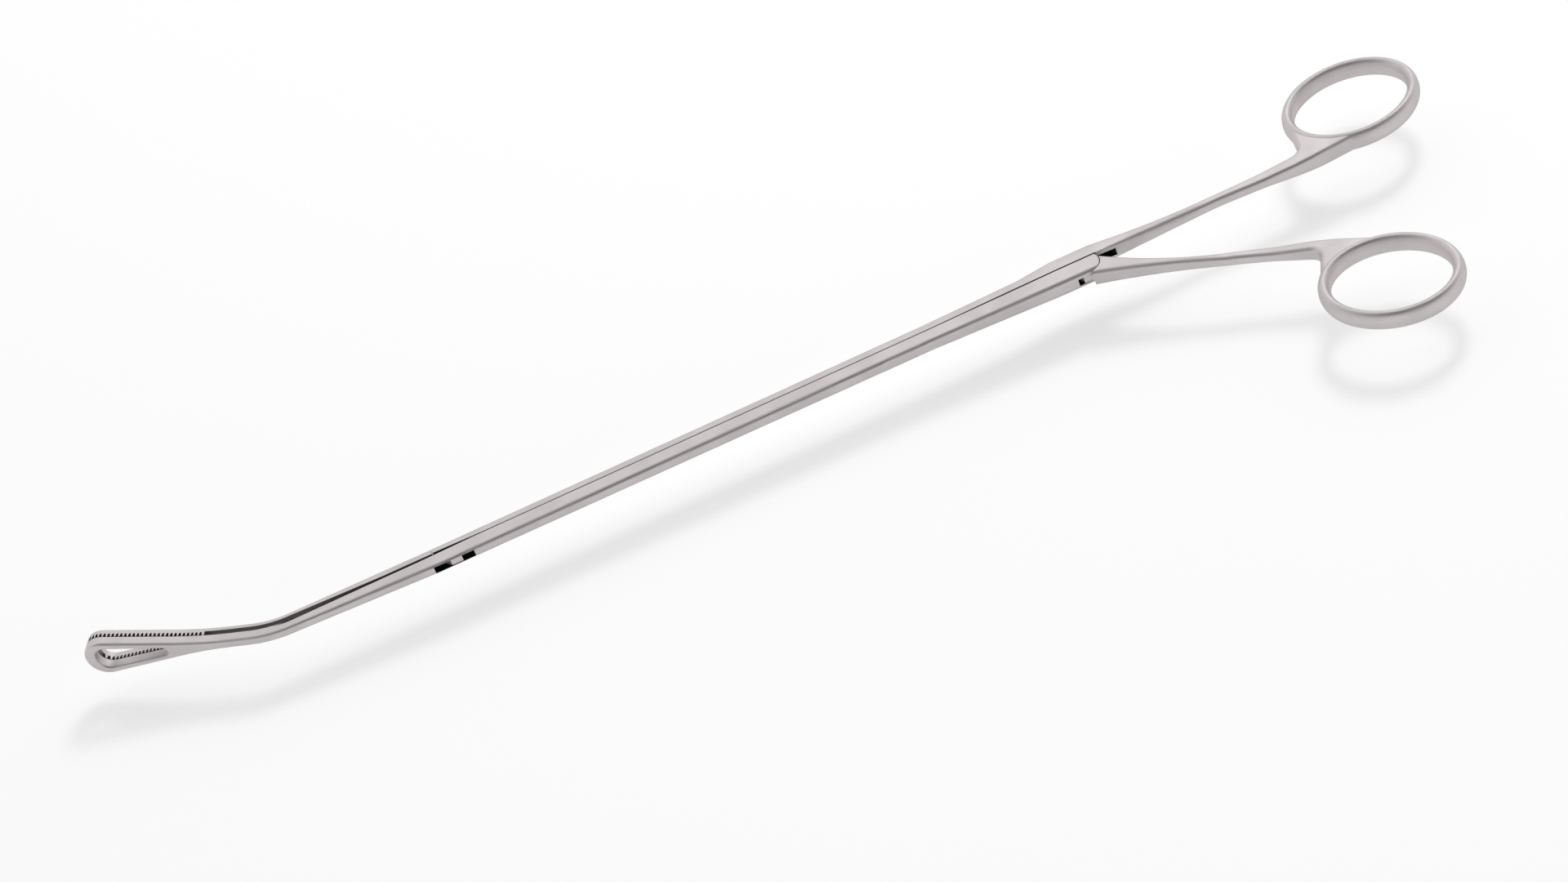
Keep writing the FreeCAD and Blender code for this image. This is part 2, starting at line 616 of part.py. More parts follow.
def make_swing_jaw():
    """Far jaw with its tongue, lug and drive slot."""
    body = body_named("swing_jaw")
    plan = sketch_on(body, "swing_jaw_plan", "XY_Plane", MID)
    start = "far_bar_end - jaw_shoulder_gap"
    teeth = "jaw_length - tooth_zone"
    outline(plan, [
        (start, FAR_INNER),
        ("jaw_root_x", "split_y + jaw_relief"),
        jaw_turn("jaw_relief"),
        along_jaw(teeth, "jaw_relief"),
        along_jaw(teeth, "jaw_contact_gap"),
        along_jaw("jaw_length", "jaw_contact_gap"),
        along_jaw("jaw_length", "jaw_far_depth"),
        jaw_turn("jaw_far_depth"),
        ("jaw_root_x", "split_y + jaw_far_depth"),
        (start, "split_y + shaft_far_depth"),
    ])
    pad(body, "swing_jaw_jaw", plan, "4 * loop_half_height")
    doc.recompute()
    cut_loop(body)
    round_back(body, "jaw_far_depth")
    cut_teeth(body, "swing_jaw_teeth")
    tongue = sketch_on(body, "swing_jaw_tongue_outline", "XY_Plane", MID)
    left = "jaw_pivot_x - jaw_lug_half_width"
    right = "jaw_pivot_x + jaw_lug_half_width"
    foot = "%s - jaw_lug_reach" % JAW_PIVOT_Y
    top = "split_y + shaft_far_depth - tongue_side_gap"
    outline(tongue, [
        (start + " - shaft_height", FAR_INNER),
        (start, FAR_INNER),
        (left, foot),
        (right, foot),
        (right, top, "jaw_lug_half_width / 2"),
        (start + " - shaft_height", top),
    ])
    pad(body, "swing_jaw_tongue", tongue, "jaw_tongue_height")
    doc.recompute()
    drill(body, "swing_jaw_pivot_hole", "jaw_pivot_x", JAW_PIVOT_Y, "jaw_pin_radius + pin_clearance")
    drive_slot(body, "swing_jaw_drive_slot", "jaw_pivot_x", JAW_PIVOT_Y, "jaw_drive_offset", "jaw_drive_radius")
    return body


def drive_slot(body, name, x, y, offset, radius):
    """Cuts the short slot that a drive pin slides in, on the line from the pivot to the pin."""
    reach = "sqrt((%s) ^ 2 + half_travel ^ 2)" % offset
    near = "(%s) - pin_clearance" % offset
    lean_x = "(-half_travel / %s)" % reach
    lean_y = "((%s) / %s)" % (offset, reach)
    half = "(%s + pin_clearance)" % radius

    def place(distance, sideways):
        return (
            "%s + (%s) * %s + (%s) * %s" % (x, distance, lean_x, sideways, lean_y),
            "%s + (%s) * %s - (%s) * %s" % (y, distance, lean_y, sideways, lean_x),
        )

    sketch = sketch_on(body, name + "_outline", "XY_Plane", MID)
    low = "%s - %s" % (near, half)
    high = "%s + pin_clearance + %s" % (reach, half)
    corner = "%s - slide_gap / 4" % half
    outline(sketch, [
        place(low, "-" + half) + (corner,),
        place(low, half) + (corner,),
        place(high, half) + (corner,),
        place(high, "-" + half) + (corner,),
    ])
    return pocket(body, name, sketch)


def ring(body, prefix, centre_x, centre_y):
    """Sweeps an oval bar round an oval, which makes a finger ring."""
    path = sketch_on(body, prefix + "_ring_path", "XY_Plane", MID)
    ellipse(path, centre_x, centre_y, "ring_half_length", "ring_half_width")
    bar = side_sketch(body, prefix + "_ring_bar", centre_y)
    ellipse(bar, "%s + ring_half_length" % centre_x, MID, "ring_bar_width / 2", "ring_bar_height / 2")
    feature = body.newObject("PartDesign::AdditivePipe", prefix + "_ring")
    feature.Profile = bar
    feature.Spine = (path, ["Edge1"])
    return feature


def shank(body, prefix, first):
    """Lofts a handle's shank from its front section to its waist."""
    sections = [first]
    for station in ("neck", "waist"):
        name = "%s_%s" % (prefix, station)
        sections.append(section(body, name, name + "_x", name + "_low", name + "_high",
                                name + "_height", "shank_corner", "shank_corner"))
    return loft(body, prefix + "_shank", sections, ruled=False)


def ring_web(body, prefix, notch_side, heel_side, outward):
    """Carries a shank from its waist into the ring's bar as a web that rises to a flat top."""
    centre_x = prefix + "_ring_x"
    centre_y = prefix + "_ring_y"
    waist = prefix + "_waist_x"
    plan = sketch_on(body, prefix + "_web_plan", "XY_Plane", MID)
    outline(plan, [
        (waist, notch_side),
        (waist + " + web_lead", notch_side, "heel_radius"),
        (prefix + "_notch_x", prefix + "_notch_y", "notch_radius"),
        ("%s - ring_half_length - ring_bar_width / 4" % centre_x, centre_y),
        (centre_x, centre_y),
        (centre_x, "%s %s ring_half_width" % (centre_y, outward)),
        (prefix + "_heel_x", prefix + "_heel_y", "heel_radius"),
        (waist + " + web_lead", heel_side, "heel_radius"),
        (waist, heel_side),
    ])
    pad(body, prefix + "_web", plan, "2 * web_height")
    doc.recompute()
    profile = sketch_on(body, prefix + "_web_profile", "XZ_Plane")
    for up in ("+", "-"):
        low = "%s %s %s_waist_height / 2" % (MID, up, prefix)
        flat = "%s %s web_height / 2" % (MID, up)
        clear = "%s %s 2 * web_height" % (MID, up)
        corners = [
            (waist, low),
            (prefix + "_notch_x + web_reach - web_rise", low, "rise_radius"),
            (prefix + "_notch_x + web_reach", flat, "rise_radius"),
            (centre_x + " + ring_bar_width", flat),
            (centre_x + " + ring_bar_width", clear),
            (waist, clear),
        ]
        outline(profile, corners if up == "+" else corners[::-1])
    pocket(body, prefix + "_web_rise", profile)
    round_web(body, prefix)
    hole = sketch_on(body, prefix + "_web_hole", "XY_Plane", MID)
    ellipse(hole, centre_x, centre_y, "ring_half_length", "ring_half_width")
    return pocket(body, prefix + "_web_trim", hole)


def round_web(body, prefix):
    """Rounds the web's long edges, which border one upright wall each."""
    base = body.Tip
    shape = base.Shape
    middle = value(MID)
    waist = value(prefix + "_waist_x")
    ring_x = value(prefix + "_ring_x")
    ring_y = value(prefix + "_ring_y")
    names = []
    for number, edge in enumerate(shape.Edges, start=1):
        samples = edge.discretize(3)
        lengthways = all(abs(p.z - middle) > value("web_height") / 4 for p in samples)
        behind = samples[1].x > waist + 0.01
        closing = all(abs(p.y - ring_y) < 0.01 for p in samples) or all(abs(p.x - ring_x) < 0.01 for p in samples)
        walls = sum(is_upright(face) for face in shape.Faces if any(edge.isSame(other) for other in face.Edges))
        if lengthways and behind and not closing and walls == 1:
            names.append("Edge%d" % number)
    feature = body.newObject("PartDesign::Fillet", prefix + "_web_round")
    feature.Base = (base, names)
    bind(feature, "Radius", "shank_corner")
    doc.recompute()
    return feature


def is_upright(face):
    """Tells whether a face is a wall along Z."""
    low, high, start, end = face.ParameterRange
    return abs(face.normalAt((low + high) / 2, (start + end) / 2).z) < 1e-3


def make_handle_bar():
    """Fixed finger ring, its shank and the far half shaft in one piece."""
    body = body_named("handle_bar")
    ring_web(body, "far", "far_waist_high", "far_waist_low", "-")
    sections = [
        half_section(body, "far_front", "far_bar_end", 1, "shaft_far_depth", "shaft_height", "shaft_corner"),
        half_section(body, "far_flare", "flare_front", 1, "flare_far_depth", "flare_height", "shaft_corner"),
        half_section(body, "far_shoulder", "shoulder_front", 1, "shoulder_depth", "shoulder_height", "joint_corner"),
        half_section(body, "far_joint", "joint_front", 1, "joint_far_depth", "joint_height", "joint_corner"),
        half_section(body, "far_rear", "shank_front", 1, "joint_far_depth", "joint_height", "joint_corner"),
    ]
    loft(body, "handle_bar_shaft", sections)
    doc.recompute()
    first = section(body, "far_shank_front", "shank_front", FAR_INNER, "split_y + joint_far_depth",
                    "joint_height", "slide_gap", "joint_corner")
    shank(body, "far", first)
    doc.recompute()
    ring(body, "far", "far_ring_x", "far_ring_y")
    doc.recompute()
    hollow = sketch_on(body, "handle_bar_pocket_outline", "XY_Plane", MID)
    floor = "split_y + pocket_depth"
    outline(hollow, [
        ("pocket_front", "split_y - joint_far_depth"),
        ("pocket_rear", "split_y - joint_far_depth"),
        ("pocket_rear", "split_y"),
        ("pocket_floor_end", floor),
        ("pocket_front", floor),
    ])
    pocket(body, "handle_bar_pocket", hollow, TONGUE_SLOT)
    slot = sketch_on(body, "handle_bar_slot_outline", "XY_Plane", MID)
    outline(slot, [
        ("far_bar_end - shaft_height", "split_y - joint_far_depth"),
        ("far_slot_rear", "split_y - joint_far_depth"),
        ("far_slot_rear", "split_y + joint_far_depth"),
        ("far_bar_end - shaft_height", "split_y + joint_far_depth"),
    ])
    pocket(body, "handle_bar_slot", slot, JAW_SLOT)
    drill(body, "handle_bar_drive_hole", DRIVE_X, "drive_offset", "drive_pin_radius")
    drill(body, "handle_bar_jaw_drive_hole", JAW_DRIVE_X, JAW_DRIVE_Y, "jaw_drive_radius")
    for name in ("front", "middle", "rear"):
        hole = side_sketch(body, "handle_bar_%s_stud_outline" % name, "split_y + joint_far_depth / 2")
        circle(hole, name + "_stud_x", MID, "stud_radius")
        pocket(body, "handle_bar_%s_stud_hole" % name, hole, "2 * joint_far_depth")
    return body


def make_thumb_handle():
    """Thumb ring, its shank and the forked tongue that pushes the far bar."""
    body = body_named("thumb_handle")
    ring_web(body, "thumb", "thumb_waist_low", "thumb_waist_high", "+")
    first = section(body, "thumb_front", "thumb_front", "thumb_front_low", "thumb_front_high",
                    "joint_height", "shank_corner", "shank_corner")
    shank(body, "thumb", first)
    doc.recompute()
    ring(body, "thumb", "thumb_ring_x", "thumb_ring_y")
    doc.recompute()
    seat = sketch_on(body, "thumb_seat_outline", "XY_Plane", MID)
    circle(seat, "0", "0", "pivot_end_radius + fork_gap")
    pocket(body, "thumb_seat", seat)
    lug = sketch_on(body, "thumb_lug_outline", "XY_Plane", MID)
    circle(lug, "0", "0", "tongue_radius")
    pad(body, "thumb_lug", lug, "tongue_height")
    doc.recompute()
    web = sketch_on(body, "thumb_web_outline", "XY_Plane", MID)
    outline(web, [
        ("0", "-tongue_radius * 0.9"),
        ("2 * pivot_end_radius", "-tongue_radius * 0.9"),
        ("2 * pivot_end_radius", "0"),
        ("0", "tongue_radius * 0.9"),
    ])
    pad(body, "thumb_web", web, "tongue_height")
    doc.recompute()
    flank = sketch_on(body, "thumb_flank_outline", "XY_Plane", MID)
    outline(flank, [
        at_rest("flank_front", "-flank_depth"),
        at_rest("pivot_end_radius", "-flank_depth"),
        at_rest("pivot_end_radius", "0"),
        at_rest("flank_front", "0"),
    ])
    pad(body, "thumb_flank", flank, "tongue_height")
    doc.recompute()
    prongs = sketch_on(body, "thumb_prongs_outline", "XY_Plane", MID)
    lean = "(handle_angle * 1 deg + atan(half_travel / drive_offset))"

    def place(distance, sideways):
        return (
            "-(%s) * sin(%s) + (%s) * cos(%s)" % (distance, lean, sideways, lean),
            "(%s) * cos(%s) + (%s) * sin(%s)" % (distance, lean, sideways, lean),
        )

    outline(prongs, [
        place("0", "-prong_width / 2"),
        place("0", "prong_width / 2"),
        place("prong_reach", "prong_width / 2"),
        place("prong_reach", "-prong_width / 2"),
    ])
    pad(body, "thumb_prongs", prongs, "tongue_height")
    doc.recompute()
    notch = sketch_on(body, "thumb_notch_outline", "XY_Plane", MID)
    half = "drive_pin_radius + pin_clearance"
    floor = "drive_offset - drive_pin_radius - 2 * pin_clearance"
    outline(notch, [
        place(floor, "-(%s)" % half),
        place(floor, half),
        place("2 * prong_reach", half),
        place("2 * prong_reach", "-(%s)" % half),
    ])
    pocket(body, "thumb_notch", notch)
    drill(body, "thumb_pivot_hole", "0", "0", "handle_pin_radius + pin_clearance")
    bind(body, "Placement.Rotation.Angle", "-handle_angle")
    return body


def at_rest(x, y):
    """Gives a point of the resting assembly in the thumb handle's own frame."""
    turned = "(handle_angle * 1 deg)"
    return (
        "(%s) * cos(%s) - (%s) * sin(%s)" % (x, turned, y, turned),
        "(%s) * sin(%s) + (%s) * cos(%s)" % (x, turned, y, turned),
    )


def pin(name, x, y, radius, height):
    """Plain pin along Z, with both ends ground flush."""
    part = doc.addObject("Part::Cylinder", name)
    part.Label = name
    bind(part, "Radius", radius)
    bind(part, "Height", height)
    bind(part, "Placement.Base.x", x)
    bind(part, "Placement.Base.y", y)
    bind(part, "Placement.Base.z", "%s - (%s) / 2" % (MID, height))
    return part


def make_stud(name, x, far_depth):
    """Headed stud: its head runs in the near bar, and its shank is riveted into the far bar."""
    body = body_named(name)
    sketch = sketch_on(body, name + "_outline", "XY_Plane", MID)
    head = "split_y - stud_lip - stud_clearance"
    tail = "split_y + %s" % far_depth
    outline(sketch, [
        (x, "%s - stud_head_height + stud_clearance" % head),
        ("%s + stud_head_radius" % x, "%s - stud_head_height + stud_clearance" % head),
        ("%s + stud_head_radius" % x, head),
        ("%s + stud_radius" % x, head),
        ("%s + stud_radius" % x, tail),
        (x, tail),
    ])
    turned = body.newObject("PartDesign::Revolution", name + "_turned")
    turned.Profile = sketch
    axis = sketch.addGeometry(Part.LineSegment(FreeCAD.Vector(value(x), 0, 0), FreeCAD.Vector(value(x), 1, 0)), True)
    pin_down(sketch, axis, 1, x, "0")
    pin_down(sketch, axis, 2, x, "1")
    turned.ReferenceAxis = (sketch, ["Axis0"])
    turned.Angle = 360
    return body


def make_pins():
    return [
        pin("handle_pivot_pin", "0", "0", "handle_pin_radius", "joint_height"),
        pin("handle_drive_pin", DRIVE_X, "drive_offset", "drive_pin_radius", "joint_height"),
        pin("jaw_pivot_pin", "jaw_pivot_x", JAW_PIVOT_Y, "jaw_pin_radius", "shaft_height"),
        pin("jaw_drive_pin", JAW_DRIVE_X, JAW_DRIVE_Y, "jaw_drive_radius", "shaft_height"),
    ]


def far_depth_at(x):
    """Far half shaft's depth at a place along its taper."""
    share = "(%s - far_bar_end) / (flare_front - far_bar_end)" % x
    return "shaft_far_depth + (flare_far_depth - shaft_far_depth) * %s" % share


def make_studs():
    return [
        make_stud("front_guide_stud", "front_stud_x", far_depth_at("front_stud_x")),
        make_stud("middle_guide_stud", "middle_stud_x", far_depth_at("middle_stud_x")),
        make_stud("rear_guide_stud", "rear_stud_x", "flare_far_depth"),
    ]


def check_document(parts):
    """Stops if any object failed, or a piece is not one sound solid."""
    doc.recompute()
    for item in doc.Objects:
        if "Invalid" in item.State or "Error" in item.State:
            raise RuntimeError("%s is %s" % (item.Label, item.State))
    for part in parts:
        if part.Shape.isNull() or not part.Shape.isValid() or len(part.Shape.Solids) != 1:
            raise RuntimeError("%s has %d solids" % (part.Label, len(part.Shape.Solids)))


def export(parts):
    os.makedirs("parts", exist_ok=True)
    for part in parts:
        part.Shape.exportStep("parts/%s.step" % part.Label)
        box = part.Shape.BoundBox
        print("%-20s %8.1f mm3  x %.1f..%.1f  y %.1f..%.1f  z %.1f..%.1f" % (
            part.Label, part.Shape.Volume, box.XMin, box.XMax, box.YMin, box.YMax, box.ZMin, box.ZMax))


pieces = [make_jaw_bar(), make_swing_jaw(), make_handle_bar(), make_thumb_handle()]
pieces += make_pins()
pieces += make_studs()
check_document(pieces)
export(pieces)
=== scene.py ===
"""Thoracoscopic forceps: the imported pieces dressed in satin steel, in a plain white studio.

Every object is in metres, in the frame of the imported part: the handle pivot at the origin,
the shaft along X with the jaws towards -X, and +Z up.
"""
import logging
import math
from dataclasses import dataclass, field
from enum import Enum
from typing import Any, Sequence

import bpy
from mathutils import Matrix, Vector


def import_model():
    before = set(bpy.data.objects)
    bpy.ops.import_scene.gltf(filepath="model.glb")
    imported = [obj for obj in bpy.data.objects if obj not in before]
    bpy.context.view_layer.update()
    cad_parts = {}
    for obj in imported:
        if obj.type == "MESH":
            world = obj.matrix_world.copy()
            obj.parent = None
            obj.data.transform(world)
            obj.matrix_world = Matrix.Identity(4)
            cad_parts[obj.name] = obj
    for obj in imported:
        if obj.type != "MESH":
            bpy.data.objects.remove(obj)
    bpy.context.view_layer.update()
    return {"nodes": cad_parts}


LOG = logging.getLogger("forceps")
MM = 0.001
FADE = 0.03 * MM

SEEING_RAYS = ("Is Camera Ray", "Is Glossy Ray", "Is Transmission Ray")

Colour = tuple[float, float, float]


class Forging(Enum):
    """The forged pieces, by their nodes' names."""

    NEAR_BAR = "jaw_bar"
    FAR_BAR = "handle_bar"
    FAR_JAW = "swing_jaw"
    THUMB = "thumb_handle"


class Sock:
    """A shader socket that takes part in Python arithmetic."""

    def __init__(self, shop: "NodeShop", socket: Any) -> None:
        """Wraps a socket.

        Args:
            shop: The node shop that adds nodes to the socket's tree.
            socket: The output socket.
        """
        self.shop = shop
        self.socket = socket

    def _maths(self, operation: str, *values: Any) -> "Sock":
        """Adds one Math node and returns its result."""
        return self.shop.add("ShaderNodeMath", {"operation": operation}, dict(enumerate(values)))

    def __add__(self, other: Any) -> "Sock":
        """Adds."""
        return self._maths("ADD", self, other)

    __radd__ = __add__

    def __sub__(self, other: Any) -> "Sock":
        """Subtracts."""
        return self._maths("SUBTRACT", self, other)

    def __rsub__(self, other: Any) -> "Sock":
        """Subtracts from a number."""
        return self._maths("SUBTRACT", other, self)

    def __mul__(self, other: Any) -> "Sock":
        """Multiplies."""
        return self._maths("MULTIPLY", self, other)

    __rmul__ = __mul__

    def __abs__(self) -> "Sock":
        """Takes the size without its sign."""
        return self._maths("ABSOLUTE", self)

    def __neg__(self) -> "Sock":
        """Turns the sign."""
        return self._maths("MULTIPLY", self, -1.0)

    def sine(self) -> "Sock":
        """Takes the sine of an angle in radians."""
        return self._maths("SINE", self)

    def cosine(self) -> "Sock":
        """Takes the cosine of an angle in radians."""
        return self._maths("COSINE", self)

    def bearing(self, other: "Sock") -> "Sock":
        """Takes the angle whose tangent is this value over the other."""
        return self._maths("ARCTAN2", self, other)

    def most(self, other: Any) -> "Sock":
        """Takes the larger of two."""
        return self._maths("MAXIMUM", self, other)

    def least(self, other: Any) -> "Sock":
        """Takes the smaller of two."""
        return self._maths("MINIMUM", self, other)

    def ramp(self, start: float, end: float) -> "Sock":
        """Goes smoothly from 0 to 1 as the value goes from one number to another.

        Args:
            start: The value at which the mask is 0.
            end: The value at which it is 1.

        Returns:
            The mask, from 0 to 1.
        """
        settings = {"interpolation_type": "SMOOTHSTEP"}
        inputs = {"Value": self, "From Min": start, "From Max": end}
        return self.shop.add("ShaderNodeMapRange", settings, inputs)

    def within(self, low: float, high: float, fade: float) -> "Sock":
        """Marks a span of values.

        Args:
            low: The span's lower end.
            high: The span's upper end.
            fade: Over what further distance the mask falls to 0.

        Returns:
            The mask, 1 inside the span.
        """
        reach = (high - low) / 2
        return abs(self - (low + high) / 2).ramp(reach + fade, reach)


class NodeShop:
    """Adds nodes to one shader tree."""

    def __init__(self, tree: bpy.types.NodeTree) -> None:
        """Takes the tree and clears it."""
        self.tree = tree
        tree.nodes.clear()

    def add(self, kind: str, settings: dict[str, Any], inputs: dict[Any, Any], output: Any = 0) -> Sock:
        """Adds any node.

        Args:
            kind: The node's type.
            settings: Its properties, set before its sockets.
            inputs: Values or wrapped sockets by input name or number.
            output: The output to return, by name or number.

        Returns:
            The chosen output, wrapped.
        """
        node = self.tree.nodes.new(kind)
        for name, setting in settings.items():
            setattr(node, name, setting)
        for key, given in inputs.items():
            self.plug(node.inputs[key], given)
        return Sock(self, node.outputs[output])

    def plug(self, socket: Any, given: Any) -> None:
        """Links a wrapped socket to an input, or sets the input to a plain value.

        Args:
            socket: The input.
            given: What goes into it.
        """
        if isinstance(given, Sock):
            self.tree.links.new(given.socket, socket)
        else:
            socket.default_value = given

    def end(self, kind: str, shader: Sock) -> None:
        """Adds the tree's output and links its surface."""
        output = self.tree.nodes.new(kind)
        self.tree.links.new(shader.socket, output.inputs["Surface"])

    def place(self) -> Sock:
        """Object coordinates, in metres."""
        return self.add("ShaderNodeTexCoord", {}, {}, "Object")

    def parts(self, vector: Sock) -> tuple[Sock, Sock, Sock]:
        """Splits a vector into its three numbers."""
        first = self.add("ShaderNodeSeparateXYZ", {}, {"Vector": vector}, "X")
        node = first.socket.node
        return first, Sock(self, node.outputs["Y"]), Sock(self, node.outputs["Z"])

    def uprightness(self, level: float = 0.5, upright: float = 0.3) -> Sock:
        """Marks the walls that stand along Z.

        Args:
            level: The normal's rise at which a face counts as level.
            upright: The rise at which it counts as upright.

        Returns:
            The mask, 1 on upright faces.
        """
        normal = self.add("ShaderNodeNewGeometry", {}, {}, "Normal")
        return abs(self.parts(normal)[2]).ramp(level, upright)

    def noise(self, scale: Sequence[float], detail: float = 2.0) -> Sock:
        """Noise on the object, with its own scale along each axis.

        Args:
            scale: Cycles per metre along X, Y and Z.
            detail: Octaves.

        Returns:
            The noise, about 0 to 1.
        """
        stretched = self.add("ShaderNodeMapping", {}, {"Vector": self.place(), "Scale": tuple(scale)})
        inputs = {"Vector": stretched, "Scale": 1.0, "Detail": detail}
        return self.add("ShaderNodeTexNoise", {}, inputs, "Fac")

    def blend(self, first: Any, second: Any, factor: Sock) -> Sock:
        """Mixes two colours.

        Args:
            first: The colour where the factor is 0, as a triple or a wrapped socket.
            second: The colour where the factor is 1.
            factor: The mask.

        Returns:
            The mixed colour.
        """
        node = self.tree.nodes.new("ShaderNodeMix")
        node.data_type = "RGBA"
        sockets = {socket.identifier: socket for socket in node.inputs}
        self.plug(sockets["Factor_Float"], factor)
        for name, colour in (("A_Color", first), ("B_Color", second)):
            self.plug(sockets[name], colour if isinstance(colour, Sock) else (*colour, 1.0))
        return Sock(self, next(s for s in node.outputs if s.identifier == "Result_Color"))

    def bumps(self, layers: Sequence[tuple[Sock, float, float]]) -> Sock:
        """Stacks bump layers.

        Args:
            layers: Height, strength and distance in metres of each layer.

        Returns:
            The normal.
        """
        normal = None
        for height, strength, distance in layers:
            inputs: dict[str, Any] = {"Height": height, "Strength": strength, "Distance": distance}
            if normal is not None:
                inputs["Normal"] = normal
            normal = self.add("ShaderNodeBump", {}, inputs)
        return normal


@dataclass(frozen=True)
class Recess:
    """A slot in a bar, in millimetres: its walls get painted shade, a near-black colour where light hardly
    reaches.
    """

    front: float
    rear: float
    near: float
    far: float
    low: float
    high: float
    fade: float = 0.02

    def mask(self, place: tuple[Sock, Sock, Sock]) -> Sock:
        """Marks the slot's box, where the shade is painted.

        Args:
            place: Object coordinates along X, Y and Z.

        Returns:
            The mask, from 0 to 1.
        """
        limits = ((self.front, self.rear), (self.near, self.far), (self.low, self.high))
        sides = [at.within(low * MM, high * MM, self.fade * MM) for at, (low, high) in zip(place, limits)]
        return sides[0] * sides[1] * sides[2]


@dataclass(frozen=True)
class SplitPlane:
    """The plane between the two halves, straight along the shaft and turned at the jaws."""

    y: float = 1.9 * MM
    turn_x: float = -206.8 * MM
    turn_angle: float = math.radians(25.0)
    turn_radius: float = 24.0 * MM
    jaw_length: float = 46.7 * MM

    def offset(self, place: tuple[Sock, Sock, Sock]) -> Sock:
        """Measures how far a point lies from the plane.

        Args:
            place: Object coordinates along X, Y and Z.

        Returns:
            The distance, positive on the far half's side.
        """
        across = place[0] - (self.turn_x + self.turn_radius * math.tan(self.turn_angle / 2))
        depth = place[1] - (self.y + self.turn_radius)
        bearing = (-across).bearing(-depth).most(0.0).least(self.turn_angle)
        return across * bearing.sine() + depth * bearing.cosine() + self.turn_radius

    def reach(self, place: tuple[Sock, Sock, Sock]) -> Sock:
        """Distance along the jaw from its turn."""
        along = (self.turn_x - place[0]) * math.cos(self.turn_angle)
        return along + (place[1] - self.y) * math.sin(self.turn_angle)


@dataclass(frozen=True)
class Seam:
    """The seam between the bars, painted as a dark line of shade: they touch in the middle and stand a little
    apart near both ends, where the painted shade widens.

    The front and rear spans give where the seam starts to widen, where it is at its widest,
    and how much that adds to its half width.
    """

    plane: SplitPlane = field(default_factory=SplitPlane)
    tight: float = 0.035 * MM
    front: tuple[float, float, float] = (-147.0 * MM, -170.0 * MM, 0.42 * MM)
    rear: tuple[float, float, float] = (-46.0 * MM, -20.0 * MM, 0.17 * MM)
    face_near: float = -0.17 * MM
    face_far: float = 1.32 * MM
    # Strength of the painted shade on the upright mating faces.
    face_dark: float = 0.6
    tip_end: float = 0.2 * MM
    tip_start: float = 0.5 * MM
    joint_start: float = 3.2 * MM
    joint_end: float = 3.5 * MM
    straight_in: float = 4.0 * MM

    def half_width(self, along: Sock) -> Sock:
        """Half width of the painted shade line of the seam at a place along the shaft."""
        front = along.ramp(*self.front[:2]) * self.front[2]
        return front + along.ramp(*self.rear[:2]) * self.rear[2] + self.tight

    def masks(self, shop: NodeShop, place: tuple[Sock, Sock, Sock]) -> list[Sock]:
        """Marks where shade is painted on what the halves hide from each other.

        Args:
            shop: The material's node shop.
            place: Object coordinates along X, Y and Z.

        Returns:
            The painted shade mask of the mating faces and of the teeth's grooves, and the painted shade mask
            of the seam.
        """
        offset = self.plane.offset(place)
        reach = self.plane.reach(place)
        upright = shop.uprightness()
        length, turn = self.plane.jaw_length, self.plane.turn_x
        before_tip = reach.ramp(length - self.tip_end, length - self.tip_start)
        ahead_of_joint = place[0].ramp(self.joint_end, self.joint_start)
        straight = place[0].ramp(turn, turn + self.straight_in)
        # Painted shade: face_dark darkens the upright mating faces and the teeth's grooves, and a dark line is
        # painted along the seam on the level faces.
        inner = offset.within(self.face_near, self.face_far, FADE) * upright
        line = (self.half_width(place[0]) - abs(offset)).ramp(-FADE, 0.0)
        return [
            inner * before_tip * ahead_of_joint * self.face_dark,
            line * (1.0 - upright) * straight * ahead_of_joint,
        ]


